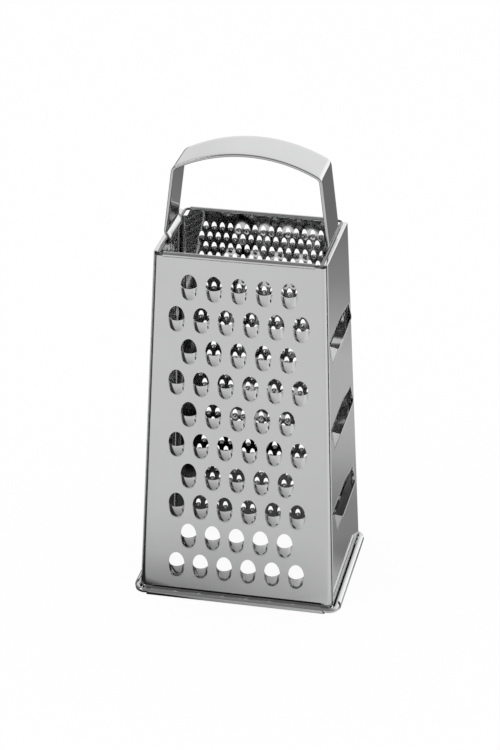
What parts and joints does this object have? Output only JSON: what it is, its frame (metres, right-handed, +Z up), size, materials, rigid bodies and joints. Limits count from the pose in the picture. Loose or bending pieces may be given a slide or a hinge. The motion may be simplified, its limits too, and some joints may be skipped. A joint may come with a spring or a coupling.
{
  "type": "box grater",
  "caption": "Four-sided tapered box grater of hemmed sheet steel on wire rings, with shredding, slicing, fine and zesting faces and an arched strap handle.",
  "frame": {"origin": "on the table, under the middle of the base", "axes": "+Z up towards the handle, -Y out of the coarse shredding face, +X out of the slicing face"},
  "size_m": [0.1106, 0.0866, 0.24],
  "materials": {
    "panel_steel": "bright rolled stainless sheet, finely grained outside and mirror-like inside",
    "wire_steel": "bright drawn wire",
    "strap_steel": "polished strip"
  },
  "bodies": {
    "root": {"front_shredder_panel": "panel_steel", "right_slicer_panel": "panel_steel", "back_fine_panel": "panel_steel", "left_zester_panel": "panel_steel", "base_wire_ring": "wire_steel", "top_wire_ring": "wire_steel", "strap_handle": "strap_steel"}
  },
  "joints": []
}
